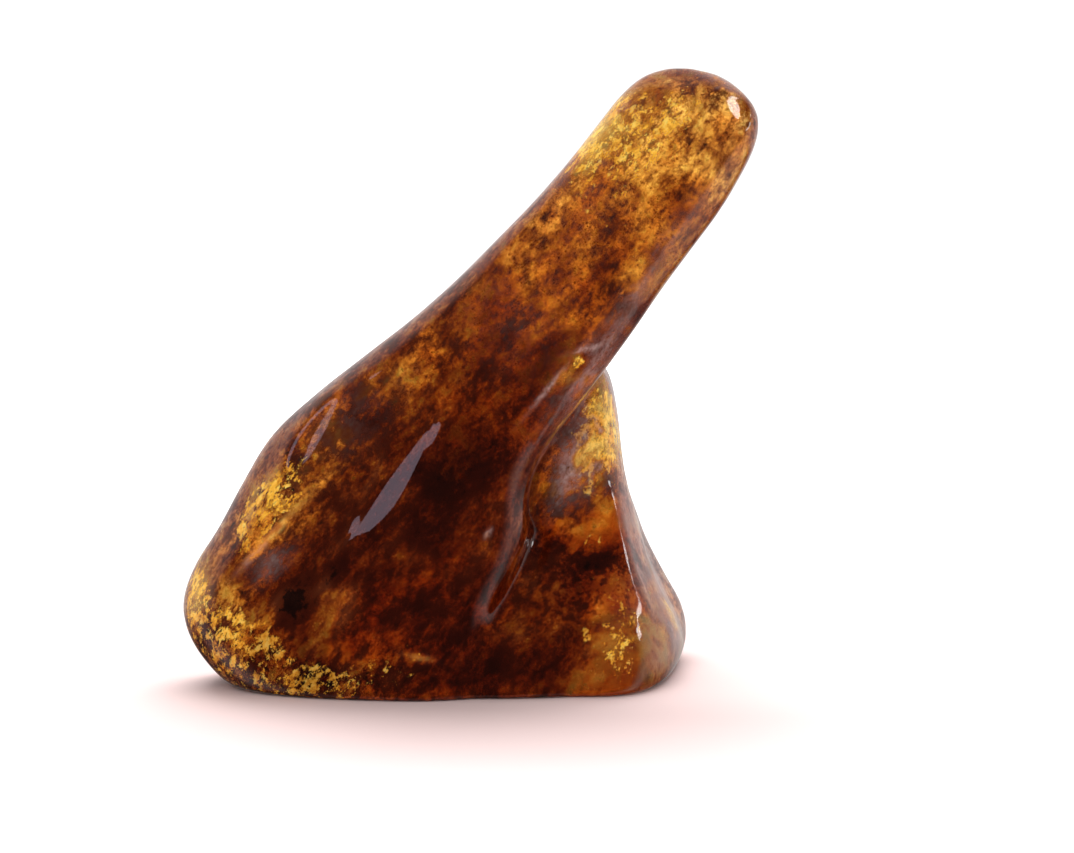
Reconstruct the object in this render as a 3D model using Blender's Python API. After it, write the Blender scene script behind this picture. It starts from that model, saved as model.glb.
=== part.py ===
"""A polished piece of natural amber that stands on its own flat base.

One lump of fossil resin: a flattened front slab that leans over and runs up into a blunt arm, a buttress
behind its right foot, and a low base that joins them. It is tumbled and polished all over, so its edges are
rounded, with the shallow flutes and flats that the grinding left.

Metres, +Z up. The front face looks along -Y. The origin is at the middle of the underside of its box.
"""

import math

import bmesh
import bpy
from mathutils import Vector
from mathutils.bvhtree import BVHTree

MM = 0.001

# Driving dimensions
VOXEL = 0.5 * MM
SMOOTHING_STEPS = 5
TRIANGLES = 9000
BASE_EDGE_RADIUS = 0.8 * MM
RING_POINTS = 40
RINGS_PER_STATION = 5

# The front slab and its arm: (left x, left z, right x, right z, middle y, half thickness, taper), in mm.
# Each station is a slice across the slab, from under the base to the arm's tip. The taper makes the left
# edge thinner than the right one.
SLAB = (
    (-18.0, -4.0, 3.0, -4.0, 7.6, 9.0, 0.20),
    (-23.8, -0.2, 3.0, -0.2, 7.6, 9.9, 0.22),
    (-27.4, 3.8, 3.0, 4.0, 7.6, 9.9, 0.26),
    (-28.6, 7.8, 3.6, 8.0, 7.6, 9.6, 0.30),
    (-27.3, 11.8, 5.2, 11.8, 7.5, 9.2, 0.32),
    (-25.1, 15.2, 6.0, 15.2, 7.4, 8.9, 0.32),
    (-22.6, 19.8, 6.0, 18.6, 7.2, 8.5, 0.30),
    (-19.6, 24.6, 6.6, 21.4, 7.0, 8.1, 0.26),
    (-15.3, 28.6, 8.0, 24.2, 6.8, 7.6, 0.20),
    (-10.6, 32.3, 10.3, 27.4, 6.6, 7.1, 0.14),
    (-5.8, 36.0, 12.9, 31.0, 6.4, 6.6, 0.10),
    (-1.5, 39.8, 15.7, 34.9, 6.2, 6.1, 0.06),
    (2.4, 43.7, 18.4, 38.9, 6.0, 5.6, 0.04),
    (6.1, 47.5, 21.1, 42.6, 5.9, 5.3, 0.02),
    (9.4, 51.3, 23.9, 46.4, 5.8, 5.0, 0.0),
    (12.3, 55.0, 26.3, 50.5, 5.8, 4.7, 0.0),
    (14.2, 57.4, 27.5, 53.4, 5.8, 4.3, 0.0),
    (16.4, 59.3, 27.4, 56.1, 5.8, 3.5, 0.0),
    (18.8, 60.1, 25.4, 58.4, 5.8, 2.2, 0.0),
    (20.6, 60.2, 23.4, 59.6, 5.8, 0.9, 0.0),
)
SLAB_SQUARENESS = 2.7

# The buttress behind the right foot: (z, left x, right x, front y, back y, flare), in mm. The flare widens
# the back of each slice, so that its right side faces a little forwards.
BUTTRESS = (
    (-3.5, 3.0, 16.5, 1.5, 24.0, 0.12),
    (-0.5, 2.0, 19.7, -0.6, 27.0, 0.22),
    (2.5, 2.0, 21.0, -0.3, 28.0, 0.22),
    (5.5, 2.0, 20.7, 0.8, 28.4, 0.20),
    (8.5, 2.0, 19.2, 2.2, 28.2, 0.18),
    (12.0, 2.4, 17.6, 3.8, 27.2, 0.16),
    (16.0, 3.2, 16.4, 5.4, 25.6, 0.14),
    (20.0, 4.2, 15.3, 6.8, 23.6, 0.12),
    (24.0, 5.2, 14.7, 8.0, 21.4, 0.10),
    (28.0, 6.4, 14.0, 9.0, 19.0, 0.08),
    (32.0, 7.6, 13.2, 9.6, 16.6, 0.06),
    (36.0, 8.8, 13.4, 9.4, 14.4, 0.04),
    (40.0, 10.4, 14.4, 9.0, 12.7, 0.0),
    (43.0, 12.0, 14.6, 8.8, 11.2, 0.0),
)
BUTTRESS_SQUARENESS = 3.0

# The low base that joins the two, laid out as the buttress is.
BASE = (
    (-3.5, -15.0, 12.0, 1.5, 22.0, 0.0),
    (-0.5, -17.0, 16.4, -1.5, 24.5, 0.0),
    (3.0, -17.5, 17.0, -1.4, 25.8, 0.0),
    (7.0, -16.5, 15.6, -0.2, 25.4, 0.0),
    (11.0, -15.0, 13.6, 1.4, 23.6, 0.0),
    (15.0, -11.5, 11.4, 4.0, 20.8, 0.0),
    (19.0, -8.0, 9.4, 6.2, 17.6, 0.0),
    (23.0, -3.5, 7.0, 8.4, 14.0, 0.0),
)
BASE_SQUARENESS = 2.8

# Flats ground on it: (the way it faces, how far from its line it reaches, the line's two ends), in mm.
FLATS = (
    ((0.56, -0.71, -0.43), 8.0, ((12.5, 0.9, 34.0), (25.0, 1.6, 51.5))),
    ((0.05, -0.62, 0.78), 7.0, ((15.0, 1.9, 57.3), (24.5, 1.9, 57.5))),
    ((-0.33, -0.91, 0.24), 9.0, ((-1.3, -1.0, 25.6), (-9.6, -1.5, 14.4))),
    ((0.86, -0.48, 0.18), 5.0, ((15.2, 8.4, 18.0), (17.8, 7.2, 11.0))),
    ((0.86, -0.48, 0.18), 5.0, ((17.8, 7.2, 11.0), (19.6, 6.0, 3.0))),
    ((-0.45, 0.86, 0.24), 11.0, ((-16.0, 14.2, 9.0), (-4.0, 13.6, 27.0))),
    ((0.40, 0.90, -0.18), 9.0, ((13.0, 11.2, 38.0), (21.0, 10.6, 50.0))),
)
FLAT_EDGE_RADIUS = 0.4 * MM

# Flutes: (width, depth, points along its middle), in mm. A negative depth raises a ridge. The points are
# moved onto the skin before they are used.
FLUTES = (
    (1.9, 0.9, ((12.4, 8.0, 29.6), (8.6, 6.5, 25.0), (6.4, 6.5, 21.0), (5.7, 6.5, 18.0), (6.1, 6.0, 14.5),
                (4.6, 4.0, 10.5), (3.0, 2.0, 6.5))),
    (3.2, 0.7, ((6.4, 6.0, 20.5), (6.2, 6.0, 17.5))),
    (5.0, 0.6, ((10.6, 5.5, 20.0), (11.4, 5.0, 14.0))),
    (1.8, -0.35, ((14.3, 7.5, 18.5), (16.1, 6.0, 15.0), (17.4, 5.0, 12.0), (18.2, 4.0, 9.0))),
    (2.6, -0.35, ((0.0, -0.6, 27.1), (-4.8, -1.2, 21.6), (-8.6, -1.6, 15.6), (-9.8, -2.0, 12.9))),
    (4.0, 0.45, ((-9.5, 1.0, 28.0), (-12.5, 0.0, 22.0), (-16.0, 0.0, 15.5), (-19.5, 0.0, 9.5))),
    (2.6, -0.40, ((-14.0, 3.0, 28.0), (-16.8, 3.0, 22.0), (-20.0, 3.0, 15.0), (-23.5, 3.0, 9.5))),
    (3.4, 0.40, ((5.0, 0.0, 41.0), (9.5, 0.0, 46.0), (15.0, 0.5, 53.0))),
    (3.0, 0.35, ((8.0, 0.0, 36.0), (3.0, -0.5, 30.0), (-1.5, -1.2, 22.0), (-3.5, -1.6, 14.0))),
    (5.0, 0.60, ((-6.0, 14.0, 30.0), (2.0, 13.0, 38.0), (9.0, 12.0, 46.0))),
    (5.0, -0.90, ((-23.0, 13.0, 2.0), (-15.0, 16.0, 7.0), (-6.0, 16.5, 13.0), (0.0, 16.0, 18.0))),
    (3.6, -0.80, ((2.5, 16.0, 14.0), (4.0, 14.5, 22.0), (5.6, 13.4, 29.0))),
    (5.0, 0.60, ((19.5, 16.0, 6.0), (17.5, 18.0, 14.0), (15.0, 18.0, 22.0))),
    (6.0, 0.60, ((4.0, 26.0, 8.0), (8.0, 24.0, 17.0), (10.0, 20.0, 25.0))),
    (6.0, 0.50, ((-14.0, 15.0, 20.0), (-8.0, 14.5, 26.0), (0.0, 14.0, 32.0))),
)


def blend(table, place):
    """A row between the table's rows, on a smooth curve through them. place counts rows from 0."""
    first = min(int(place), len(table) - 2)
    t = place - first
    rows = [table[min(max(first + k, 0), len(table) - 1)] for k in (-1, 0, 1, 2)]
    return [
        0.5 * (2 * b + (c - a) * t + (2 * a - 5 * b + 4 * c - d) * t**2 + (3 * b - a - 3 * c + d) * t**3)
        for a, b, c, d in zip(*rows)
    ]


def rounded_square(squareness):
    """Points round a closed outline between a circle, at 2, and a square, as (across, deep) from -1 to 1."""
    power = 2 / squareness
    points = []
    for i in range(RING_POINTS):
        turn = 2 * math.pi * i / RING_POINTS
        across, deep = math.cos(turn), math.sin(turn)
        points.append((math.copysign(abs(across) ** power, across), math.copysign(abs(deep) ** power, deep)))
    return points


def slab_ring(row):
    left_x, left_z, right_x, right_z, middle_y, thickness, taper = row
    left, right = Vector((left_x, 0, left_z)), Vector((right_x, 0, right_z))
    middle, half = (left + right) / 2, (right - left) / 2
    return [
        MM * (middle + half * across + Vector((0, middle_y + thickness * (1 + taper * across) * deep, 0)))
        for across, deep in rounded_square(SLAB_SQUARENESS)
    ]


def foot_ring(row, squareness):
    z, left, right, front, back, flare = row
    return [
        MM
        * Vector((
            (left + right) / 2 + (right - left) / 2 * across * (1 + flare * deep),
            (front + back) / 2 + (back - front) / 2 * deep,
            z,
        ))
        for across, deep in rounded_square(squareness)
    ]


def loft(name, table, ring):
    """A closed mesh object through the rings of a table's rows."""
    bm = bmesh.new()
    steps = (len(table) - 1) * RINGS_PER_STATION
    loops = [
        [bm.verts.new(point) for point in ring(blend(table, step / RINGS_PER_STATION))]
        for step in range(steps + 1)
    ]
    for low, high in zip(loops, loops[1:]):
        for i in range(RING_POINTS):
            j = (i + 1) % RING_POINTS
            bm.faces.new((low[i], low[j], high[j], high[i]))
    bm.faces.new(loops[0])
    bm.faces.new(loops[-1])
    bmesh.ops.recalc_face_normals(bm, faces=bm.faces)
    mesh = bpy.data.meshes.new(name)
    bm.to_mesh(mesh)
    bm.free()
    made = bpy.data.objects.new(name, mesh)
    bpy.context.scene.collection.objects.link(made)
    return made


def apply_modifiers(obj):
    """Keeps the object's mesh as its modifiers leave it."""
    bpy.context.view_layer.update()
    seen = obj.evaluated_get(bpy.context.evaluated_depsgraph_get())
    obj.data = bpy.data.meshes.new_from_object(seen)
    obj.modifiers.clear()


def grown_together(name, parts):
    """One lump of the parts, which are used up."""
    bm = bmesh.new()
    for part in parts:
        bm.from_mesh(part.data)
        bpy.data.objects.remove(part)
    mesh = bpy.data.meshes.new(name)
    bm.to_mesh(mesh)
    bm.free()
    lump = bpy.data.objects.new(name, mesh)
    bpy.context.scene.collection.objects.link(lump)
    return lump


def tumble(lump):
    """Gives the lump one closed skin, and smooths it as tumbling does."""
    skin = lump.modifiers.new("Skin", "REMESH")
    skin.mode = "VOXEL"
    skin.voxel_size = VOXEL
    soften = lump.modifiers.new("Soften", "SMOOTH")
    soften.factor = 0.5
    soften.iterations = SMOOTHING_STEPS
    apply_modifiers(lump)


def nearest_on_line(point, start, end):
    along = end - start
    share = min(max((point - start).dot(along) / along.length_squared, 0), 1)
    return start + along * share


def fall_off(share):
    """1 at 0, and smoothly down to 0 at 1."""
    return (1 - min(share, 1) ** 2) ** 2


def rounded_cut(depth, radius):
    """How deep under a cut a point ends, from its depth before. Points above the cut, below 0, end on it."""
    if depth >= radius:
        return depth
    return max(depth + radius, 0) ** 2 / (4 * radius)


def grind_flats(lump):
    """Planes the skin down to each flat, along the flat's line and for its reach to both sides."""
    for facing, reach, ends in FLATS:
        facing = Vector(facing).normalized()
        start, end = (MM * Vector(point) for point in ends)
        for vertex in lump.data.vertices:
            near = nearest_on_line(vertex.co, start, end)
            share = min((vertex.co - near).length / (reach * MM), 1)
            depth = (near - vertex.co).dot(facing)
            vertex.co -= facing * (rounded_cut(depth, FLAT_EDGE_RADIUS) - depth) * (1 - share**4)


def press_flutes(lump):
    """Sinks the flutes into the skin and raises the ridges from it."""
    bm = bmesh.new()
    bm.from_mesh(lump.data)
    skin = BVHTree.FromBMesh(bm)
    moves = [Vector() for vertex in bm.verts]
    for width, depth, points in FLUTES:
        line = [skin.find_nearest(MM * Vector(point))[0] for point in points]
        for vertex, move in zip(bm.verts, moves):
            nearest = [nearest_on_line(vertex.co, start, end) for start, end in zip(line, line[1:])]
            away = min((vertex.co - point).length for point in nearest)
            move -= vertex.normal * depth * MM * fall_off(away / (width * MM))
    for vertex, move in zip(bm.verts, moves):
        vertex.co += move
    bm.to_mesh(lump.data)
    bm.free()


def thinned(lump):
    """Fewer triangles, closest together where the surface bends."""
    fewer = lump.modifiers.new("Fewer", "DECIMATE")
    fewer.ratio = TRIANGLES / sum(len(face.vertices) - 2 for face in lump.data.polygons)
    apply_modifiers(lump)


def cut_flat_base(lump):
    """Grinds the underside flat at the ground, with a rounded edge."""
    bm = bmesh.new()
    bm.from_mesh(lump.data)
    radius = BASE_EDGE_RADIUS
    everything = bm.verts[:] + bm.edges[:] + bm.faces[:]
    cut = bmesh.ops.bisect_plane(
        bm, geom=everything, plane_co=(0, 0, -radius), plane_no=(0, 0, -1), clear_outer=True
    )
    rim = [part for part in cut["geom_cut"] if isinstance(part, bmesh.types.BMEdge)]
    bmesh.ops.contextual_create(bm, geom=rim)
    for vertex in bm.verts:
        vertex.co.z = rounded_cut(vertex.co.z, radius)
    bmesh.ops.triangulate(bm, faces=bm.faces)
    bmesh.ops.recalc_face_normals(bm, faces=bm.faces)
    bm.to_mesh(lump.data)
    bm.free()


def centre_on_origin(lump):
    """Moves the lump so that the origin is at the middle of its box's underside."""
    corners = [vertex.co for vertex in lump.data.vertices]
    middle = [(min(c[k] for c in corners) + max(c[k] for c in corners)) / 2 for k in range(2)]
    for vertex in lump.data.vertices:
        vertex.co -= Vector((middle[0], middle[1], 0))


def amber_material():
    material = bpy.data.materials.new("amber")
    material.use_nodes = True
    shader = material.node_tree.nodes["Principled BSDF"]
    shader.inputs["Base Color"].default_value = (0.42, 0.13, 0.03, 1)
    shader.inputs["Roughness"].default_value = 0.08
    shader.inputs["Metallic"].default_value = 0
    shader.inputs["IOR"].default_value = 1.54
    return material


def main():
    for obj in list(bpy.data.objects):
        bpy.data.objects.remove(obj)
    slab = loft("slab", SLAB, slab_ring)
    buttress = loft("buttress", BUTTRESS, lambda row: foot_ring(row, BUTTRESS_SQUARENESS))
    base = loft("base", BASE, lambda row: foot_ring(row, BASE_SQUARENESS))
    amber = grown_together("amber_gemstone", (slab, buttress, base))
    tumble(amber)
    grind_flats(amber)
    press_flutes(amber)
    tumble(amber)
    thinned(amber)
    cut_flat_base(amber)
    centre_on_origin(amber)
    amber.data.materials.append(amber_material())
    amber.data.shade_smooth()


main()
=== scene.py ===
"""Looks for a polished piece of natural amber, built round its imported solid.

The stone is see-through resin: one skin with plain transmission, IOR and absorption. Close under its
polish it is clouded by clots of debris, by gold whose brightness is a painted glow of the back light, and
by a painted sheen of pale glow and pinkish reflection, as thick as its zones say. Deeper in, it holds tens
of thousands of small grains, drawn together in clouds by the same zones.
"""

import math

import bmesh
import bpy
import numpy as np
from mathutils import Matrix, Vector
from mathutils.bvhtree import BVHTree


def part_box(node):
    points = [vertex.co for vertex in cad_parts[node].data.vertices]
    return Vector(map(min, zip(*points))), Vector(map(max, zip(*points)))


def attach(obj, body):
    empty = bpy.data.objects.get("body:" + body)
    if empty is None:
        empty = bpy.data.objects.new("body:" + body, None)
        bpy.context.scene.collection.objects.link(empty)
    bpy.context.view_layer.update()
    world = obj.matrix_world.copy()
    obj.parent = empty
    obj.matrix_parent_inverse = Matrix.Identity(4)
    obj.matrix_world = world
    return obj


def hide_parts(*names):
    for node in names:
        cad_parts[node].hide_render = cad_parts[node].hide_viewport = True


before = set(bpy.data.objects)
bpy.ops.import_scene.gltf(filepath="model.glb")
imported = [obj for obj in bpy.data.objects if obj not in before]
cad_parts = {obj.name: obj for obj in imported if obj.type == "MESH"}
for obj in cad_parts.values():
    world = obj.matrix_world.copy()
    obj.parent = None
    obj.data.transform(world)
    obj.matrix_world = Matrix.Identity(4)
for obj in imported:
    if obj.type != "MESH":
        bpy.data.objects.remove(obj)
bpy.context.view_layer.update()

MM = 0.001
NODE = "amber_gemstone"
WHITE = (1, 1, 1, 1)
BLACK = (0, 0, 0, 1)

# Camera
LENS = 100
SENSOR_WIDTH = 36
PICTURE_WIDTH = 1074
PIXELS_PER_MM = 10.5
CAMERA_ELEVATION = math.radians(6)
AIM = Vector((6.75, -12.71, 26.1)) * MM
NEAREST_SEEN = 0.01

# Skin: how finely it is resurfaced, how often and how far it is smoothed, and when two points are one
SKIN_VOXEL = 0.30 * MM
SKIN_SMOOTHING = 14
SMOOTHING_STEP = 0.5
SAME_POINT = 0.001 * MM

# The way the debris is drawn out: along the arm, in the plane that the photograph shows
DRAWN_OUT_LEAN = math.radians(52)
DRAWN_OUT = 1.6


# Selecting and modifying, as by hand


def only(obj):
    """Selects this object alone and makes it the active one."""
    bpy.ops.object.select_all(action="DESELECT")
    obj.select_set(True)
    bpy.context.view_layer.objects.active = obj


def added(name):
    """The object that an operator has just added, under its own name."""
    obj = bpy.context.active_object
    obj.name = obj.data.name = name
    return obj


def modify(obj, kind, **settings):
    """Adds a modifier and applies it."""
    only(obj)
    modifier = obj.modifiers.new(kind.title(), kind)
    for key, value in settings.items():
        setattr(modifier, key, value)
    bpy.ops.object.modifier_apply(modifier=modifier.name)


def place_in_mesh(obj):
    """Moves the object's place, turn and size into its mesh."""
    only(obj)
    bpy.ops.object.transform_apply(location=True, rotation=True, scale=True)


# Shader maths


class Signal:
    """A socket that can be written about in sums: each operator adds its Math node."""

    def __init__(self, shader, socket):
        self.shader, self.socket = shader, socket

    def _math(self, operation, *values):
        return self.shader.node("ShaderNodeMath", {"operation": operation}, dict(enumerate(values)))

    def __add__(self, other):
        return self._math("ADD", self, other)

    def __sub__(self, other):
        return self._math("SUBTRACT", self, other)

    def __rsub__(self, other):
        return self._math("SUBTRACT", other, self)

    def __mul__(self, other):
        return self._math("MULTIPLY", self, other)

    def __truediv__(self, other):
        return self._math("DIVIDE", self, other)

    def __rtruediv__(self, other):
        return self._math("DIVIDE", other, self)

    __radd__ = __add__
    __rmul__ = __mul__

    def smooth(self, low, high):
        """0 below low, 1 above high, and eased between them."""
        return self.shader.node(
            "ShaderNodeMapRange",
            {"interpolation_type": "SMOOTHSTEP"},
            {"Value": self, "From Min": low, "From Max": high},
        )


class Shader:
    """Writes a material's or a world's nodes."""

    def __init__(self, owner):
        owner.use_nodes = True
        self.tree = owner.node_tree
        self.tree.nodes.clear()

    def node(self, kind, settings=None, inputs=None, output=0):
        """Adds a node. Settings go first, then its sockets' values or links. Gives one of its outputs."""
        made = self.tree.nodes.new(kind)
        for key, value in (settings or {}).items():
            if key == "stops":
                self._stops(made.color_ramp, value)
            else:
                setattr(made, key, value)
        for key, value in (inputs or {}).items():
            if isinstance(value, Signal):
                self.tree.links.new(value.socket, made.inputs[key])
            else:
                made.inputs[key].default_value = value
        return Signal(self, made.outputs[output]) if made.outputs else made

    @staticmethod
    def _stops(ramp, stops):
        while len(ramp.elements) < len(stops):
            ramp.elements.new(1)
        for element, (place, colour) in zip(ramp.elements, stops):
            element.position = place
            element.color = (*colour, 1)

    def ramp(self, stops, place):
        """The colour at this place on a ramp."""
        return self.node("ShaderNodeValToRGB", {"stops": stops}, {"Fac": place})

    def mix(self, blend, factor, first, second):
        """Mixes two colours."""
        return self.node(
            "ShaderNodeMix",
            {"data_type": "RGBA", "blend_type": blend},
            {0: factor, 6: first, 7: second},
            output=2,
        )

    def along(self, direction, axis):
        """How far a direction runs along an axis."""
        settings = {"operation": "DOT_PRODUCT"}
        return self.node("ShaderNodeVectorMath", settings, {0: direction, 1: axis}, output="Value")

    def own_place(self):
        """Where a point is in the object's own space."""
        return self.node("ShaderNodeTexCoord", output="Object")

    def grain(self, place, scale, detail, roughness):
        """Fractal noise from 0 to 1, with scale in lumps to the millimetre."""
        return self.node(
            "ShaderNodeTexNoise",
            {},
            {"Vector": place, "Scale": scale / MM, "Detail": detail, "Roughness": roughness},
        )


# Amber

AMBER_IOR = 1.54
POLISHED = 0.02
CLOUDY = 0.22

# How strongly a millimetre of resin, and stain of 1, absorb red, green and blue light
RESIN_ABSORPTION = (0.012, 0.070, 0.26)
STAIN_ABSORPTION = (1.0, 2.0, 2.9)
MOST_STAIN = 2.5
STAIN_STOPS = 12

# Clots from thin to thick
CLOT_COLOURS = (
    (0.00, (0.90, 0.52, 0.070)),
    (0.18, (0.68, 0.24, 0.020)),
    (0.42, (0.32, 0.080, 0.013)),
    (0.75, (0.10, 0.028, 0.011)),
    (1.00, (0.02, 0.008, 0.006)),
)

# Gold from its dark to its bright spots; the bright colour is a painted glow of the back light
GOLD_AND_GLOW_COLOURS = (
    (0.0, (0.16, 0.045, 0.008)),
    (0.3, (0.55, 0.22, 0.020)),
    (0.65, (1.0, 0.56, 0.055)),
    (1.0, (1.0, 0.80, 0.17)),
)

# Painted sheen: a painted pale-gold glow over clear resin, then a painted brown and pinkish reflection over
# more and more stain
PAINTED_SHEEN_COLOURS = (
    (0.0, (1.0, 0.68, 0.16)),
    (0.22, (0.70, 0.27, 0.06)),
    (0.6, (0.50, 0.34, 0.31)),
)

# Noise in the skin: its lumps to the millimetre, its detail and roughness, and the middle of its range
LUMPS = (0.60, 5, 0.70)
FLECKS = (2.0, 6, 0.75)
CLUSTERS = (1.15, 8, 0.78)
MIDDLE = 0.5

# Where each pattern begins, and where it is full
CLOUD_EDGE = (0.1, 1.1)
SPECK_EDGE = (0.17, 0.27)
VEIL_EDGE = (-0.6, 0.4)
GOLD_EDGE = (0.0, 0.03)
FRAGMENT_EDGE = (3.8, 4.0)
PAINTED_SHEEN_EDGE = (0.0, 1.0)

# How much of the skin each pattern covers where it is full
CLOUD_COVER = 0.97
SPECK_COVER = 0.9
VEIL_COVER = 0.20
GOLD_COVER = 0.9

# How high the noise rises before it is gold, and how far the backlit gold attribute lowers that
GOLD_LEVEL = 0.72
BACKLIT_GOLD_LOWERS = 0.25

# How much each thing counts towards a speck, the fragment and the painted sheen
SPECK_FLECKS, SPECK_LUMPS, SPECK_DUST = (0.4, 0.35, 0.06)
FRAGMENT_DUST, FRAGMENT_FLECKS, FRAGMENT_LUMPS = (1.6, 12, 6)
SHEEN_EVEN, SHEEN_FLECKS, SHEEN_LUMPS = (0.6, 2.2, 0.8)

# How much each thing counts towards the place on the clots' and the gold's colours
CLOT_CLOUD, CLOT_SPECK = (0.75, 0.35)
BRIGHT_EVEN, BRIGHT_FLECKS, BRIGHT_LUMPS = (0.66, 2.8, 1.4)

# How far a cloud deepens the stain, and how far the stain colours the clots and the gold
CLOUD_STAIN = 0.3
STAINED_CLOTS = 0.95
STAINED_GOLD = 0.5

# The attributes of the skin, in the order of the zones' amounts
SKIN_LAYERS = ("stain", "dust", "lumpy", "flecked", "gilded", "hazed")


def stain_stops():
    """What is left of red, green and blue light, from no stain to the most."""
    stops = []
    for i in range(STAIN_STOPS):
        share = i / (STAIN_STOPS - 1)
        depth = MOST_STAIN * i / (STAIN_STOPS - 1)
        stops.append((share, [math.exp(-absorption * depth) for absorption in STAIN_ABSORPTION]))
    return stops


def amber_skin_material():
    """Clear resin with clots of debris, gold, a painted sheen and a black fragment close under its polish.

    The skin's attributes say how much there is of each: stain deepens the colour, dust thickens the clots,
    lumpy and flecked draw them together, gilded brings out the gold, whose bright colour is a painted
    glow of the back light, and hazed the painted sheen: a painted pale glow over clear resin
    and a painted pinkish reflection over stain. The fragment lies where dust is thickest.
    """
    material = bpy.data.materials.new("amber_skin")
    s = Shader(material)
    stain, dust, lumpy, flecked, gilded, hazed = (
        s.node("ShaderNodeAttribute", {"attribute_name": name}, output="Fac") for name in SKIN_LAYERS
    )
    drawn_out = s.node(
        "ShaderNodeMapping",
        {"vector_type": "TEXTURE"},
        {"Vector": s.own_place(), "Rotation": (0, -DRAWN_OUT_LEAN, 0), "Scale": (DRAWN_OUT, 1, 1)},
    )
    lumps = s.grain(drawn_out, *LUMPS) - MIDDLE
    flecks = s.grain(drawn_out, *FLECKS) - MIDDLE
    clusters = s.grain(drawn_out, *CLUSTERS) - GOLD_LEVEL + BACKLIT_GOLD_LOWERS * gilded

    # Each pattern, from 0 where it is missing to 1 where it is full
    cloud = (dust + lumpy * lumps + flecked * flecks).smooth(*CLOUD_EDGE)
    speck = SPECK_FLECKS * flecked * flecks + SPECK_LUMPS * lumps + SPECK_DUST * dust
    speck = speck.smooth(*SPECK_EDGE)
    veil = VEIL_COVER * dust.smooth(*VEIL_EDGE)
    # Gold: gold specks whose bright colour is a painted glow of the back light
    gold = clusters.smooth(*GOLD_EDGE)
    fragment = FRAGMENT_DUST * dust + FRAGMENT_FLECKS * flecks + FRAGMENT_LUMPS * lumps
    fragment = fragment.smooth(*FRAGMENT_EDGE)
    # Painted sheen: a painted pale glow and a painted pinkish reflection on the skin
    painted_sheen = hazed * (SHEEN_EVEN + SHEEN_FLECKS * flecks + SHEEN_LUMPS * lumps)
    painted_sheen = painted_sheen.smooth(*PAINTED_SHEEN_EDGE)
    clear_of_clots = (1 - veil) * (1 - CLOUD_COVER * cloud) * (1 - SPECK_COVER * speck)
    cover = 1 - clear_of_clots * (1 - GOLD_COVER * gold) * (1 - painted_sheen) * (1 - fragment)

    # Their colours, one over the other
    tint = s.ramp(stain_stops(), (stain + CLOUD_STAIN * cloud) / MOST_STAIN)
    clot_colour = s.ramp(CLOT_COLOURS, CLOT_CLOUD * cloud + CLOT_SPECK * speck + fragment)
    gold_and_glow_colour = s.ramp(GOLD_AND_GLOW_COLOURS, BRIGHT_EVEN + BRIGHT_FLECKS * flecks + BRIGHT_LUMPS * lumps)
    colour = s.mix("MULTIPLY", STAINED_CLOTS, clot_colour, tint)
    # The gold and its painted glow over the clots
    colour = s.mix("MIX", gold, colour, s.mix("MULTIPLY", STAINED_GOLD, gold_and_glow_colour, tint))
    # The painted sheen over everything, as its share of the cover
    colour = s.mix("MIX", painted_sheen / cover, colour, s.ramp(PAINTED_SHEEN_COLOURS, stain))
    clots = s.node(
        "ShaderNodeBsdfPrincipled", {}, {"Base Color": colour, "Roughness": POLISHED, "IOR": AMBER_IOR}
    )
    resin = s.node(
        "ShaderNodeBsdfPrincipled",
        {},
        {
            "Base Color": tint,
            "Roughness": CLOUDY,
            "IOR": AMBER_IOR,
            "Transmission Weight": 1.0,
            "Specular Tint": BLACK,
            "Coat Weight": 1.0,
            "Coat Roughness": POLISHED,
            "Coat IOR": AMBER_IOR,
        },
    )
    surface = s.node("ShaderNodeMixShader", {}, {0: cover, 1: resin, 2: clots})
    strongest = max(RESIN_ABSORPTION)
    passed = [1 - absorption / strongest for absorption in RESIN_ABSORPTION]
    volume = s.node(
        "ShaderNodeVolumeAbsorption", {}, {"Color": (*passed, 1), "Density": strongest / MM}
    )
    s.node("ShaderNodeOutputMaterial", {}, {"Surface": surface, "Volume": volume})
    return material


# Debris grains: the noise of their tone and where it turns from dark to pale, how rough they are, and an
# IOR so low that they hardly shine
GRAIN_TONE = (0.8, 1, 0.5)
GRAIN_TONE_EDGE = (0.3, 0.7)
GRAIN_ROUGHNESS = 0.55
GRAIN_IOR = 1.1


def grain_material(name, colour, spread):
    """Debris: a rough grain, some lighter and some darker than others."""
    material = bpy.data.materials.new(name)
    s = Shader(material)
    dark_colour = [c * (1 - spread) for c in colour]
    pale_colour = [min(c * (1 + spread), 1) for c in colour]
    stops = list(zip(GRAIN_TONE_EDGE, (dark_colour, pale_colour)))
    tint = s.ramp(stops, s.grain(s.own_place(), *GRAIN_TONE))
    surface = s.node(
        "ShaderNodeBsdfPrincipled", {}, {"Base Color": tint, "Roughness": GRAIN_ROUGHNESS, "IOR": GRAIN_IOR}
    )
    s.node("ShaderNodeOutputMaterial", {}, {"Surface": surface})
    return material


# Where debris gathers


def ease(value, low, high):
    """0 below low, 1 above high, and eased between them."""
    t = np.clip((value - low) / (high - low), 0, 1)
    return t * t * (3 - 2 * t)
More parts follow.
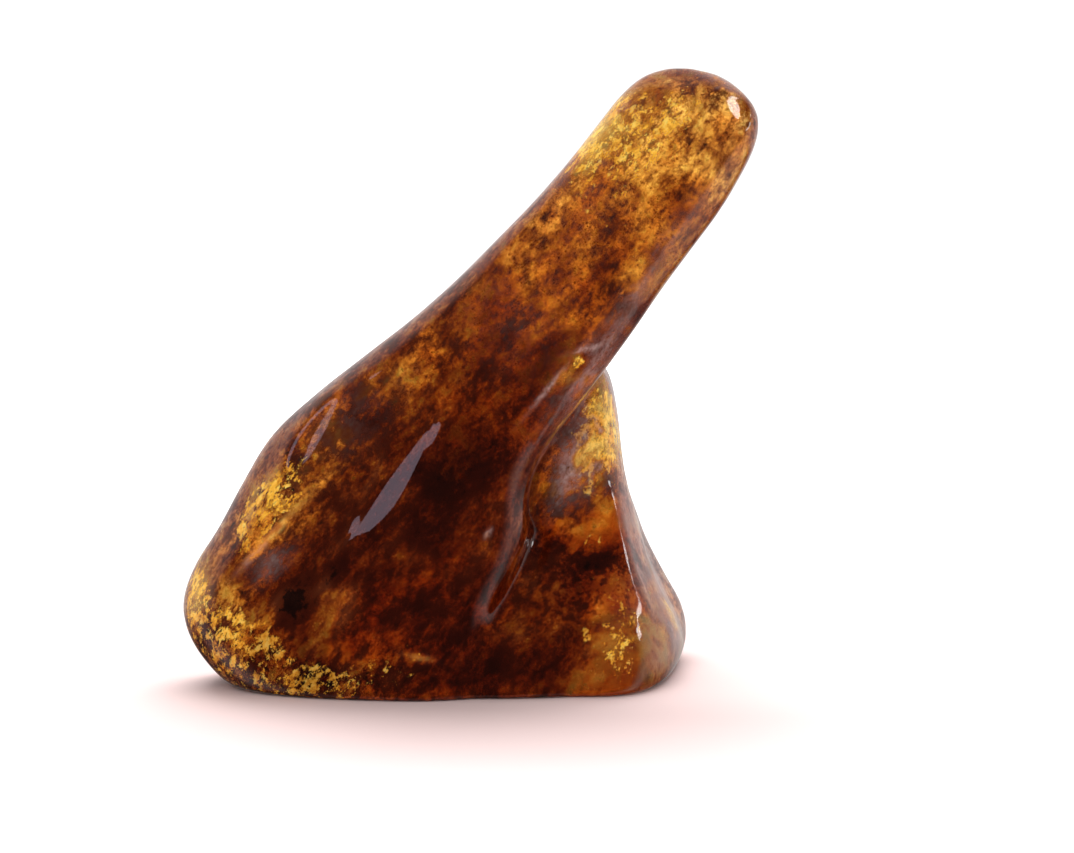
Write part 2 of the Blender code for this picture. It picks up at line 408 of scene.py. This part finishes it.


# Each zone is an ellipse that fades out. It says where that is: x, z, half length and half width, in mm,
# and its lean from level, in degrees. Then it says what it adds to what is everywhere: stain, dust,
# lumps, flecks, gold and painted sheen. Stain is the extra depth of amber colour, dust how much debris
# there is, and lumps and flecks how far it draws together in large and in small spots. Gold makes bright
# clusters
# commoner: gold specks whose brightness is a painted glow of the back light. The sheen is painted: a pale
# painted glow where the resin is clear, and a painted pinkish reflection where it is stained.
EVERYWHERE = np.array((0.15, 0.6, 0.9, 2.3, 0.0, 0.0))
ZONES = (
    ("arm tip cap", (22.0, 59.5, 6.0, 2.2, 10), (0.5, 0.0, -0.2, -0.4, -0.3, 0.0)),
    ("arm tip", (18.8, 53.0, 6.0, 6.0, 50), (0.0, -0.1, -0.5, 0.3, 0.35, 0.0)),
    ("gold at the tip", (18.2, 55.2, 8.0, 2.8, 38), (-0.15, 0.05, 0.5, 0.9, 0.80, 0.2)),
    # Painted sheen: pale reflection along the tip's rim
    ("tip's hazy rim", (24.3, 59.4, 3.8, 0.9, -30), (0.2, -0.2, -0.5, -1.5, -0.8, 0.6)),
    ("gold along the arm's edge", (12.6, 54.6, 5.0, 2.0, 55), (-0.45, -0.15, 0.8, 0.5, 0.9, 0.65)),
    ("upper arm", (12.5, 47.0, 6.0, 7.0, 50), (0.40, 0.0, -0.5, 0.0, 0.35, 0.12)),
    ("middle of the arm", (4.5, 37.5, 7.0, 8.0, 50), (0.68, 0.0, 0.2, 0.0, 0.15, 0.15)),
    ("foot of the arm", (3.5, 28.0, 7.0, 7.0, 50), (1.2, 0.1, 0.3, 0.3, 0.0, 0.0)),
    ("arm's lower edge", (17.3, 40.5, 14.0, 1.3, 57), (0.40, 0.1, -0.2, -1.6, -0.5, 0.24)),
    ("shoulder", (-12.0, 27.0, 7.0, 4.0, 45), (0.6, 0.3, 0.8, 0.6, 0.1, 0.2)),
    ("left streak", (-19.0, 18.3, 5.5, 2.1, 54), (-0.05, 0.1, 2.2, 2.0, 1.7, 0.0)),
    ("pale flute", (-19.0, 15.2, 4.5, 0.4, 47), (-0.1, -0.3, -1.0, -2.0, -0.8, 0.8)),
    ("left of the belly", (-11.5, 19.5, 8.0, 3.0, 50), (0.8, 0.3, 0.2, 0.2, 0.0, 0.0)),
    ("left corner", (-24.0, 4.5, 5.0, 5.0, 0), (0.2, 0.35, 3.0, 2.4, 0.5, 0.0)),
    ("gold under the left corner", (-22.5, 2.4, 4.0, 1.2, -30), (-0.2, -0.1, 0.0, 0.0, 0.5, 0.0)),
    ("gold at the left edge", (-26.2, 9.5, 3.5, 1.2, 85), (-0.4, -0.2, 0.0, 0.0, 1.3, 0.5)),
    ("gold in the left corner", (-21.3, 6.2, 4.5, 2.0, -20), (-0.2, -0.1, 0.0, 0.0, 1.1, 0.0)),
    ("front foot", (-14.0, 1.5, 7.0, 3.0, 0), (0.4, 0.45, 3.0, 2.4, 0.5, 0.0)),
    ("gold in the front foot", (-14.6, 1.7, 3.2, 1.7, 0), (-0.2, -0.1, 0.0, 0.0, 0.6, 0.0)),
    ("gold flecks beside the foot", (-7.0, 3.5, 5.0, 2.5, 10), (0.0, 0.0, 0.8, 0.6, 0.45, 0.0)),
    # Painted reflection of the window: a pale pinkish patch of painted sheen
    ("painted window reflection", (-18.7, 12.7, 2.8, 1.4, 40), (0.6, 0.0, 0.0, 1.6, -0.8, 0.42)),
    ("dark fragment", (-16.4, 9.6, 1.9, 1.3, 50), (0.4, 3.0, 0.0, 0.8, -0.8, -1.2)),
    ("dark spot", (-12.5, 12.2, 1.6, 0.9, 50), (0.8, 1.0, 0.5, 0.5, 0.0, 0.0)),
    ("dark middle", (-2.0, 11.0, 10.0, 8.0, 20), (1.2, 0.35, -0.1, -0.6, 0.0, 0.0)),
    ("dark belly", (-2.5, 20.5, 5.0, 3.0, 30), (1.1, 0.4, 0.7, 0.4, 0.0, 0.0)),
    ("dark foot", (2.0, 3.0, 8.0, 3.0, 0), (1.1, 0.25, 0.0, -0.5, 0.0, 0.0)),
    ("pale curl", (-4.4, 4.3, 1.4, 0.35, -12), (-3.0, -0.3, 0.0, -1.5, 0.0, 0.35)),
    ("pink speck", (2.1, 16.0, 0.6, 0.3, 60), (0.0, 0.0, 0.0, -1.0, 0.0, 1.0)),
    ("yellow spot", (10.7, 32.2, 0.7, 0.6, 60), (-0.5, -0.2, 0.0, 0.0, 2.2, -1.0)),
    # Painted sheen: pale reflection on the flat under the arm
    ("flat under the arm, with painted sheen", (11.8, 31.0, 6.5, 1.8, 52), (0.0, 0.0, -0.4, -1.2, 0.0, 0.26)),
    ("chip's edge", (8.1, 30.1, 3.6, 0.26, 50), (0.3, -0.2, 0.0, -1.0, -1.0, 0.7)),
    ("chip's hook", (11.3, 33.4, 1.5, 0.26, 15), (0.3, -0.2, 0.0, -1.0, -1.0, 0.6)),
    ("gold speck", (11.6, 5.8, 0.9, 0.5, 80), (0.0, -0.2, 0.0, 0.0, 1.0, 0.0)),
    # Painted light: less stain, more gold and more painted sheen lighten the top of the rear lobe, where
    # the arm shades it
    ("rear lobe top", (12.9, 24.2, 5.2, 2.4, 75), (-0.2, 0.1, 2.6, 2.2, 1.9, 0.85)),
    ("rear lobe's thin edge", (15.5, 25.2, 4.0, 1.0, 100), (-0.3, -2.0, -0.9, -1.8, -2.5, 1.1)),
    # Painted sheen: pale reflection in the pocket
    ("rear lobe pocket", (9.4, 20.5, 3.6, 1.4, 70), (0.8, 0.1, 1.6, 1.6, 0.0, 0.75)),
    ("orange in the rear lobe", (13.3, 15.0, 3.4, 2.2, 20), (-0.35, -0.6, -1.8, -2.8, 0.45, 0.0)),
    ("dark band in the rear lobe", (11.8, 12.2, 4.2, 1.1, 8), (0.6, 0.6, 0.0, 0.0, -0.4, 0.0)),
    ("rear lobe middle", (12.0, 12.0, 5.0, 4.0, 60), (0.90, 0.25, 2.4, 2.0, 0.2, 0.0)),
    ("rear lobe foot", (14.6, 6.0, 4.6, 2.6, 90), (0.0, -0.6, 0.8, 0.0, 0.80, 0.16)),
    ("under the rear lobe", (14.5, 2.0, 5.0, 2.0, 0), (0.30, -0.4, 0.6, -0.4, 0.3, 0.0)),
    # Painted sheen: pale reflection along the rear lobe's right side
    ("rear lobe's right side", (20.5, 8.0, 10.0, 2.4, 106), (0.12, -0.1, -0.8, -2.0, 0.0, 0.72)),
)

# Zones of the same kind on the back, which the photograph doesn't show
ZONES_BEHIND = (
    ("back of the arm", (10.0, 45.0, 9.0, 3.0, 52), (0.1, 0.15, 0.6, 0.3, 0.45, 0.0)),
    ("gold behind the tip", (21.0, 54.0, 4.0, 2.5, 20), (0.0, 0.0, 0.0, 0.0, 0.6, 0.0)),
    ("red cloud", (3.0, 30.0, 6.0, 4.0, 50), (0.4, 0.0, 0.8, 0.4, 0.1, 0.0)),
    ("gold behind the shoulder", (-13.0, 22.0, 5.0, 1.8, 60), (0.0, 0.0, 0.8, 0.8, 1.0, 0.0)),
    ("dark cloud", (-3.0, 16.0, 8.0, 5.0, 40), (0.4, 0.2, 1.2, 0.6, 0.0, 0.0)),
    ("gold behind the foot", (-19.0, 4.0, 5.0, 2.2, 15), (0.0, 0.0, 1.2, 1.2, 1.0, 0.0)),
    ("gold behind the rear lobe", (15.0, 13.0, 6.0, 1.8, 100), (0.0, -0.1, 1.2, 1.2, 1.0, 0.0)),
)

# The zones in front are whole as far back as FRONT_REACH, in mm before the stone's middle. Past that they
# drift to the right and down with each millimetre, and thin out over WIDTHS_BACK times their own half
# width. The zones behind grow from the same depth, and are whole from BACK, in mm behind the middle.
FRONT_REACH = 2.0
DRIFT_X = 0.5
DRIFT_Z = -0.35
WIDTHS_BACK = 2.5
BACK = 3


def within(x, z, zone_x, zone_z, length, width, lean):
    """1 in the middle of a zone, fading to 0 round it."""
    turn = math.radians(lean)
    along = ((x - zone_x) * math.cos(turn) + (z - zone_z) * math.sin(turn)) / length
    across = (-(x - zone_x) * math.sin(turn) + (z - zone_z) * math.cos(turn)) / width
    return np.exp(-(along**2 + across**2))


def zone_amounts(points):
    """What the zones add up to at each of these points in mm: stain, dust, lumps, flecks, gold and painted
    sheen.
    """
    x, y, z = points.T
    behind = np.maximum(y + FRONT_REACH, 0)
    at_back = ease(y, -FRONT_REACH, BACK)
    amounts = np.repeat(EVERYWHERE[None], len(points), axis=0)
    for _, (zone_x, zone_z, length, width, lean), change in ZONES:
        thinned = np.exp(-((behind / (WIDTHS_BACK * width)) ** 2))
        drifted = (zone_x + DRIFT_X * behind, zone_z + DRIFT_Z * behind)
        amounts += (within(x, z, *drifted, length, width, lean) * thinned)[:, None] * np.array(change)
    for _, place, change in ZONES_BEHIND:
        amounts += (within(x, z, *place) * at_back)[:, None] * np.array(change)
    return amounts


# Clouds: how many values their lattice has each way, how much finer each next octave is and how far it is
# shifted, and how strong they all are
LATTICE = 32
FINER = 2.03
OCTAVE_SHIFT = 7.31
CLOUD_STRENGTH = 3.2


def clouds(points, lump, octaves, seed, fade):
    """Fractal noise at points in mm, about 1 either way, drawn out as the debris is.

    Its lumps are of this size in mm, and each octave is as strong as the one before, times the fade.
    """
    lean = DRAWN_OUT_LEAN
    x, y, z = points.T
    along = (x * math.cos(lean) + z * math.sin(lean)) / DRAWN_OUT
    place = np.stack((along, y, z * math.cos(lean) - x * math.sin(lean)), axis=1) / lump
    rng = np.random.default_rng(seed)
    total = np.zeros(len(points))
    power = 0
    for octave in range(octaves):
        values = rng.uniform(-1, 1, (LATTICE, LATTICE, LATTICE))
        at = place * FINER**octave + octave * OCTAVE_SHIFT
        cell = np.floor(at).astype(int)
        inside = at - cell
        eased = inside * inside * (3 - 2 * inside)
        layer = np.zeros(len(points))
        for corner in np.ndindex(2, 2, 2):
            weight = np.prod(np.where(corner, eased, 1 - eased), axis=1)
            layer += weight * values[tuple(((cell + corner) % LATTICE).T)]
        total += layer * fade**octave
        power += fade ** (2 * octave)
    return total / math.sqrt(power) * CLOUD_STRENGTH


# Stone


def points_of(obj):
    """The mesh's vertices, in mm."""
    points = np.empty(len(obj.data.vertices) * 3, np.float32)
    obj.data.vertices.foreach_get("co", points)
    return points.reshape(-1, 3).astype(float) / MM


def set_points(obj, points):
    """Moves the mesh's vertices to these places, in mm."""
    obj.data.vertices.foreach_set("co", (points * MM).astype(np.float32).ravel())
    obj.data.update()


# Flats that polishing left on the front, as it is seen. Each runs from start to end (x, z), in mm, and
# reaches so far to the left and to the right of that line. Its taper says how much it narrows to its
# ends, its slopes how much it comes towards the camera to the right and up, and its fade, in mm, how far
# beside it the skin is eased to meet it.
LEAF = 0.8
BAND = 0.12
FACETS = (
    ("leaf", (-3.4, 26.3), (-11.0, 14.8), 0.45, 1.45, LEAF, (0.555, -0.47), 1.0),
    ("shoulder flat", (-11.8, 29.4), (-16.2, 21.4), 0.55, 0.55, LEAF, (0.525, -0.44), 2.5),
    ("arm's upper edge", (26.2, 53.4), (15.6, 38.3), 0.0, 2.1, BAND, (-0.72, 0.45), 1.5),
    ("arm's lower edge", (13.9, 39.2), (5.6, 24.8), 0.0, 2.4, BAND, (-0.49, 0.25), 1.5),
    ("tip", (24.3, 57.6), (26.1, 55.0), 0.4, 0.8, LEAF, (-0.86, -0.32), 1.2),
)

# Grinding: how far a flat may raise the skin, in mm, how much of its length past its ends it may ease,
# the power that puts its widest place past its middle, how far skin has to face the front before it is
# ground and before it is ground wholly, and how far before the middle the measuring rays start, in mm
MOST_LIFT = 0.2
PAST_ENDS = 0.2
WIDEST_PAST_MIDDLE = 1.2
FACING_FRONT = (0.1, 0.4)
RAY_START = 60


def skin_tree(skin):
    """The skin's faces, for finding what a ray hits and which is nearest."""
    bm = bmesh.new()
    bm.from_mesh(skin.data)
    tree = BVHTree.FromBMesh(bm)
    bm.free()
    return tree


def front_heights(tree, x, z):
    """How far the skin stands towards the camera, in mm, at each of these places."""
    found = np.zeros(len(x))
    for i, (at_x, at_z) in enumerate(zip(x, z)):
        hit = tree.ray_cast(Vector((at_x, -RAY_START, at_z)) * MM, Vector((0, 1, 0)))[0]
        found[i] = -hit.y / MM if hit else 0
    return found


def grind_facet(tree, points, front, start, end, left, right, taper, slopes, fade):
    """Flattens a stretch of the front, and eases the skin beside it to meet the flat."""
    run = np.array(end) - start
    length = np.linalg.norm(run)
    run /= length
    across_way = np.array((-run[1], run[0]))
    offset = points[:, (0, 2)] - start
    share, across = offset @ run / length, offset @ across_way
    near = (front > 0) & (share > -PAST_ENDS) & (share < 1 + PAST_ENDS)
    near &= (across > -left - fade) & (across < right + fade)
    share, across = share[near], across[near]
    inside = np.clip(share, 0, 1)
    fullness = np.sin(math.pi * inside**WIDEST_PAST_MIDDLE) ** taper
    sides = []
    for edge in (-left * fullness, right * fullness):
        place = start + inside[:, None] * length * run + edge[:, None] * across_way
        sides.append((edge, place, front_heights(tree, *place.T)))
    (left_edge, left_place, left_height), (right_edge, _, _) = sides
    plane_base = np.mean(left_height - left_place @ np.array(slopes))
    beyond = 1 - ease(np.abs(share - inside) * length, 0, fade)
    steps = [(plane_base + place @ np.array(slopes) - height) * beyond for _, place, height in sides]
    flat = plane_base + points[near][:, (0, 2)] @ np.array(slopes)
    left_of, right_of = left_edge - across, across - right_edge
    beside_left = steps[0] * (1 - ease(left_of, 0, fade))
    beside_right = steps[1] * (1 - ease(right_of, 0, fade))
    beside = np.where(left_of > 0, beside_left, beside_right)
    on_flat = (left_of <= 0) & (right_of <= 0) & (share >= 0) & (share <= 1)
    lifts = np.minimum(np.where(on_flat, flat + points[near, 1], beside), MOST_LIFT)
    points[near, 1] -= front[near] * lifts


# The clouds in the stain and in the dust: how strong they are everywhere, how much stronger where it is
# lumpy, and the size of their lumps in mm, their octaves, their seed and their fade
STAIN_CLOUDS = (0.26, 0.02, (2.4, 4, 3, 0.62))
DUST_CLOUDS = (0.08, 0.06, (1.5, 4, 5, 0.8))

# The most that the last three attributes come to
MOST_FLECKED = 6
MOST_GOLD = 0.9
MOST_SHEEN = 1


def with_clouds(amounts, lumpy, points, strength, lumpy_strength, noise):
    """Amounts that vary from place to place."""
    return amounts + (strength + lumpy_strength * lumpy) * clouds(points, *noise)


def lay_on_zones(skin, points):
    """Keeps what the zones add up to at each point of the skin, as its material's attributes."""
    amounts = zone_amounts(points)
    lumpy = np.maximum(amounts[:, 2], 0)
    stain = np.clip(with_clouds(amounts[:, 0], lumpy, points, *STAIN_CLOUDS), 0, MOST_STAIN)
    dust = with_clouds(amounts[:, 1], lumpy, points, *DUST_CLOUDS)
    others = np.clip(amounts[:, 3:], 0, (MOST_FLECKED, MOST_GOLD, MOST_SHEEN)).T
    for name, values in zip(SKIN_LAYERS, (stain, dust, lumpy, *others)):
        layer = skin.data.attributes.new(name, "FLOAT", "POINT")
        layer.data.foreach_set("value", values.astype(np.float32))


def stone_skin():
    """The stone's polished outside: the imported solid's form, resurfaced finely, smoothed and ground."""
    skin = bpy.data.objects.new("amber_stone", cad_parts[NODE].data.copy())
    bpy.context.scene.collection.objects.link(skin)
    only(skin)
    bpy.ops.object.mode_set(mode="EDIT")
    bpy.ops.mesh.select_all(action="SELECT")
    bpy.ops.mesh.remove_doubles(threshold=SAME_POINT)
    bpy.ops.object.mode_set(mode="OBJECT")
    modify(skin, "REMESH", mode="VOXEL", voxel_size=SKIN_VOXEL)
    modify(skin, "SMOOTH", factor=SMOOTHING_STEP, iterations=SKIN_SMOOTHING)
    points = points_of(skin)
    points[:, 2] = np.maximum(points[:, 2], 0)
    normals = np.array([vertex.normal[:] for vertex in skin.data.vertices])
    front = ease(-normals[:, 1], *FACING_FRONT)
    tree = skin_tree(skin)
    for _, *facet in FACETS:
        grind_facet(tree, points, front, *facet)
    set_points(skin, points)
    bpy.ops.object.shade_smooth()
    skin.data.materials.clear()
    skin.data.materials.append(amber_skin_material())
    lay_on_zones(skin, points)
    return skin


# Debris inside the stone

# How far apart the exact depths lie, in mm, and how many more of them the far side needs
GRID = 1.0
SPARE = 2


class Depth:
    """How deep a point lies under the stone's skin, in mm, from a grid of exact depths."""

    def __init__(self, skin):
        tree = skin_tree(skin)
        low, high = (np.array(c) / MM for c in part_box(NODE))
        self.low = low - GRID
        counts = np.ceil((high - self.low) / GRID).astype(int) + SPARE
        self.grid = np.empty(counts)
        for cell in np.ndindex(*counts):
            point = Vector(self.low + np.array(cell) * GRID) * MM
            nearest, normal, _, distance = tree.find_nearest(point)
            side = 1 if (point - nearest).dot(normal) < 0 else -1
            self.grid[cell] = side * distance / MM

    def __call__(self, points):
        at = (points - self.low) / GRID
        cell = np.clip(np.floor(at).astype(int), 0, np.array(self.grid.shape) - 2)
        inside = at - cell
        depth = np.zeros(len(points))
        for corner in np.ndindex(2, 2, 2):
            weight = np.prod(np.where(corner, inside, 1 - inside), axis=1)
            depth += weight * self.grid[tuple((cell + corner).T)]
        return depth


# A grain is an octahedron, its corners knocked in or out and its three ways flattened, between these shares
GRAIN_CORNERS = np.array(((1, 0, 0), (-1, 0, 0), (0, 1, 0), (0, -1, 0), (0, 0, 1), (0, 0, -1)), float)
GRAIN_FACES = np.array(
    ((0, 2, 4), (2, 1, 4), (1, 3, 4), (3, 0, 4), (2, 0, 5), (1, 2, 5), (3, 1, 5), (0, 3, 5))
)
GRAIN_KNOCKS = (0.55, 1.3)
GRAIN_FLATTENING = (0.45, 1.0)


def random_turns(rng, count):
    """As many rotation matrices, each turned its own way."""
    turns = rng.normal(size=(count, 4))
    turns /= np.linalg.norm(turns, axis=1, keepdims=True)
    w, x, y, z = turns.T
    return np.array((
        (1 - 2 * (y * y + z * z), 2 * (x * y - w * z), 2 * (x * z + w * y)),
        (2 * (x * y + w * z), 1 - 2 * (x * x + z * z), 2 * (y * z - w * x)),
        (2 * (x * z - w * y), 2 * (y * z + w * x), 1 - 2 * (x * x + y * y)),
    )).transpose(2, 0, 1)


def grains(name, places, sizes, rng, material):
    """One mesh of many small rough grains, each with its own shape, size and turn."""
    count = len(places)
    shapes = GRAIN_CORNERS[None] * rng.uniform(*GRAIN_KNOCKS, (count, len(GRAIN_CORNERS), 1))
    shapes *= rng.uniform(*GRAIN_FLATTENING, (count, 1, 3))
    turned = np.einsum("nij,nkj->nki", random_turns(rng, count), shapes)
    points = turned * sizes[:, None, None] + places[:, None]
    corner_index = GRAIN_FACES[None] + len(GRAIN_CORNERS) * np.arange(count)[:, None, None]
    mesh = bpy.data.meshes.new(name)
    mesh.vertices.add(count * len(GRAIN_CORNERS))
    mesh.vertices.foreach_set("co", (points * MM).astype(np.float32).ravel())
    mesh.loops.add(corner_index.size)
    mesh.loops.foreach_set("vertex_index", corner_index.ravel().astype(np.int32))
    mesh.polygons.add(count * len(GRAIN_FACES))
    mesh.polygons.foreach_set("loop_start", np.arange(0, corner_index.size, 3, dtype=np.int32))
    mesh.update()
    mesh.validate()
    mesh.materials.append(material)
    made = bpy.data.objects.new(name, mesh)
    bpy.context.scene.collection.objects.link(made)
    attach(made, "root")


# Debris by kind: its name, its colour and how far that spreads, its smallest and largest radius in mm,
# its grains to the cubic millimetre where dust is 1, how far they draw together, and their clouds' seed
DEBRIS = (
    ("brown", (0.26, 0.10, 0.03), 0.5, 0.06, 0.22, 3.0, 2.2, 21),
    ("dark", (0.11, 0.045, 0.022), 0.5, 0.06, 0.20, 0.4, 2.4, 21),
    ("gold", (0.90, 0.66, 0.28), 0.2, 0.06, 0.22, 0.8, 1.2, 33),
)
MOST_GRAINS_IN_A_PIECE = 24_000

# The seed of the grains, how many places are tried, and how deep under the skin they lie, in mm
DEBRIS_SEED = 11
TRIES = 3_000_000
UNDER_SKIN = 0.42

# The clouds that grains lie in: their lump size in mm, octaves and fade, and how many times they thicken
# the debris at most
DEBRIS_LUMP = 1.2
DEBRIS_OCTAVES = 4
DEBRIS_FADE = 0.75
MOST_CROWDED = 40

# How far grains draw together without lumps and with each step of them, the least and the most of that,
# and the power that makes most grains small
EVEN_PULL = 0.55
LUMPY_PULL = 0.35
LEAST_PULL, MOST_PULL = (0.4, 1.2)
MOSTLY_SMALL = 3


def debris(skin):
    """Brown, dark and gold grains through the whole stone, in clouds, as thick as the zones say."""
    rng = np.random.default_rng(DEBRIS_SEED)
    depth = Depth(skin)
    low, high = (np.array(c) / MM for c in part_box(NODE))
    tried_per_mm3 = TRIES / np.prod(high - low)
    places = rng.uniform(low, high, (TRIES, 3))
    places = places[depth(places) > UNDER_SKIN]
    amounts = zone_amounts(places)
    dust = np.maximum(amounts[:, 1], 0)
    drawn_together = np.clip(EVEN_PULL + LUMPY_PULL * amounts[:, 2], LEAST_PULL, MOST_PULL)
    for name, colour, spread, smallest, largest, thickness, clumping, seed in DEBRIS:
        pull = clumping * drawn_together
        cloud = pull * clouds(places, DEBRIS_LUMP, DEBRIS_OCTAVES, seed, DEBRIS_FADE)
        density = thickness * dust * np.minimum(np.exp(cloud), MOST_CROWDED) / np.exp(pull**2 / 2)
        found = places[rng.random(len(places)) < density / tried_per_mm3]
        sizes = smallest + (largest - smallest) * rng.random(len(found)) ** MOSTLY_SMALL
        material = grain_material(name + "_debris", colour, spread)
        for first in range(0, len(found), MOST_GRAINS_IN_A_PIECE):
            part = slice(first, first + MOST_GRAINS_IN_A_PIECE)
            number = first // MOST_GRAINS_IN_A_PIECE + 1
            grains(f"{name}_debris_{number}", found[part], sizes[part], rng, material)


# Stage

# Table: its size and how far it lies under the stone, in metres, its colours, the first a painted shadow by
# the stone, where that painted shadow fades to white and where it glows, in mm from the middle, how much it
# glows there and where it is seen through the stone, and its finish
TABLE_SIZE = 3.0
TABLE_DROP = 0.02 * MM
TABLE_PAINTED_SHADOW = (0.82, 0.67, 0.66, 1)
TABLE_WHITE = (0.9, 0.9, 0.9, 1)
TABLE_SHADOW_FADES = (25, 75)
TABLE_GLOWS = (70, 260)
TABLE_GLOW = 0.45
TABLE_THROUGH_STONE = 0.7
TABLE_ROUGHNESS = 0.8
TABLE_IOR = 1.2


def table_material():
    """White, with a painted pinkish shadow near the stone, and glowing far off and where it is seen through
    the stone.
    """
    material = bpy.data.materials.new("white_table")
    s = Shader(material)
    away = s.node("ShaderNodeVectorMath", {"operation": "LENGTH"}, {0: s.own_place()}, output="Value") / MM
    through_stone = s.node("ShaderNodeLightPath", output="Is Transmission Ray")
    glow = TABLE_GLOW * away.smooth(*TABLE_GLOWS) + TABLE_THROUGH_STONE * through_stone
    white_glow = s.node(
        "ShaderNodeVectorMath", {"operation": "SCALE"}, {0: WHITE[:3], "Scale": glow}, output="Vector"
    )
    surface = s.node(
        "ShaderNodeBsdfPrincipled",
        {},
        {
            # Painted shadow: darker and pinker near the stone, white farther out
            "Base Color": s.mix("MIX", away.smooth(*TABLE_SHADOW_FADES), TABLE_PAINTED_SHADOW, TABLE_WHITE),
            "Roughness": TABLE_ROUGHNESS,
            "IOR": TABLE_IOR,
            "Emission Color": white_glow,
            "Emission Strength": 1.0,
        },
    )
    s.node("ShaderNodeOutputMaterial", {}, {"Surface": surface})
    return material


def floor():
    """A white table, which the stone doesn't mirror."""
    bpy.ops.object.select_all(action="DESELECT")
    bpy.ops.mesh.primitive_plane_add(size=TABLE_SIZE, location=(0, 0, -TABLE_DROP))
    plane = added("floor")
    place_in_mesh(plane)
    plane.data.materials.append(table_material())
    plane.visible_glossy = False


# Studio: how bright it is as a light, to the camera, in what the stone mirrors and in what comes through
# it, and its colour to all but the camera
STUDIO_LIGHT = 0.85
STUDIO_SEEN = 1.1
STUDIO_MIRRORED = 0.72
STUDIO_THROUGH_STONE = 1.2
STUDIO_COLOUR = (1, 0.93, 0.91, 1)

# The ways to the room in front, to the back and down
TO_ROOM = (0, -0.944, 0.33)
TO_BACK = (0, 1, 0)
DOWN = (0, 0, -1)

# What the stone mirrors is dimmer in front, low behind the stone and straight down, and what comes
# through it is brighter from behind: how much, and between which shares of those ways
ROOM_DIMMING = 0.68
ROOM_EDGE = (-0.1, 0.35)
LOW_DIMMING = 0.9
LOW_EDGE = (0.05, 0.4)
LOW_BEHIND_EDGE = (-0.1, 0.3)
STEEP_DIMMING = 0.75
STEEP_EDGE = (0.6, 0.9)
BACK_BRIGHTENING = 1.3
BACK_EDGE = (-0.3, 0.6)


def sky():
    """A white studio. Its front, where the camera stands, is dim to what the stone mirrors."""
    world = bpy.data.worlds.new("studio")
    bpy.context.scene.world = world
    s = Shader(world)
    direction = s.node("ShaderNodeTexCoord", output="Generated")
    to_room = s.along(direction, TO_ROOM)
    to_back = s.along(direction, TO_BACK)
    downward = s.along(direction, DOWN)
    refracted = STUDIO_THROUGH_STONE + BACK_BRIGHTENING * to_back.smooth(*BACK_EDGE)
    low_behind = downward.smooth(*LOW_EDGE) * to_back.smooth(*LOW_BEHIND_EDGE)
    mirrored = STUDIO_MIRRORED - ROOM_DIMMING * to_room.smooth(*ROOM_EDGE)
    mirrored = mirrored * (1 - LOW_DIMMING * low_behind)
    mirrored = mirrored * (1 - STEEP_DIMMING * downward.smooth(*STEEP_EDGE))
    is_seen = s.node("ShaderNodeLightPath", output="Is Camera Ray")
    is_mirrored = s.node("ShaderNodeLightPath", output="Is Glossy Ray")
    is_refracted = s.node("ShaderNodeLightPath", output="Is Transmission Ray")
    strength = STUDIO_LIGHT + is_seen * (STUDIO_SEEN - STUDIO_LIGHT)
    strength = strength + is_mirrored * (mirrored - STUDIO_LIGHT)
    strength = strength + is_refracted * (refracted - STUDIO_LIGHT)
    colour = s.mix("MIX", is_seen, STUDIO_COLOUR, WHITE)
    background = s.node("ShaderNodeBackground", {}, {"Color": colour, "Strength": strength})
    s.node("ShaderNodeOutputWorld", {}, {"Surface": background})


def softbox(name, place, aim, size, radiance, colour=(1, 1, 1), **rays):
    """A rectangular light of this radiance, turned to its aim. Its place, aim and size are in mm."""
    light = bpy.data.lights.new(name, "AREA")
    light.shape = "RECTANGLE"
    light.size, light.size_y = (side * MM for side in size)
    light.energy = radiance * math.pi * light.size * light.size_y
    light.color = colour
    obj = bpy.data.objects.new(name, light)
    bpy.context.scene.collection.objects.link(obj)
    obj.location = Vector(place) * MM
    obj.rotation_mode = "QUATERNION"
    obj.rotation_quaternion = (Vector(aim) * MM - obj.location).to_track_quat("-Z", "Y")
    obj.visible_camera = False
    obj.visible_transmission = False
    for key, value in rays.items():
        setattr(obj, "visible_" + key, value)


def camera():
    """The photograph's view: a long lens a little above the table."""
    data = bpy.data.cameras.new("camera")
    data.lens = LENS
    data.sensor_width = SENSOR_WIDTH
    data.clip_start = NEAREST_SEEN
    obj = bpy.data.objects.new("camera", data)
    bpy.context.scene.collection.objects.link(obj)
    distance = PICTURE_WIDTH * LENS / SENSOR_WIDTH / PIXELS_PER_MM * MM
    back = Vector((0, -math.cos(CAMERA_ELEVATION), math.sin(CAMERA_ELEVATION)))
    obj.location = AIM + back * distance
    obj.rotation_mode = "QUATERNION"
    obj.rotation_quaternion = (-back).to_track_quat("-Z", "Y")
    bpy.context.scene.camera = obj


camera()
bpy.context.scene.view_settings.view_transform = "Standard"
sky()
floor()
softbox("back light", place=(0, 250, 420), aim=(0, 0, 0), size=(500, 350), radiance=6.0, glossy=False)
softbox(
    "window",
    place=(-232, -113, 161),
    aim=(-7, -13, 19),
    size=(60, 62),
    radiance=1.8,
    colour=(0.92, 0.80, 1.0),
    diffuse=False,
)
softbox("side window", place=(286, -17, 146), aim=(17, -8, 15), size=(50, 44), radiance=8.0, diffuse=False)

stone = stone_skin()
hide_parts(NODE)
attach(stone, "root")
debris(stone)
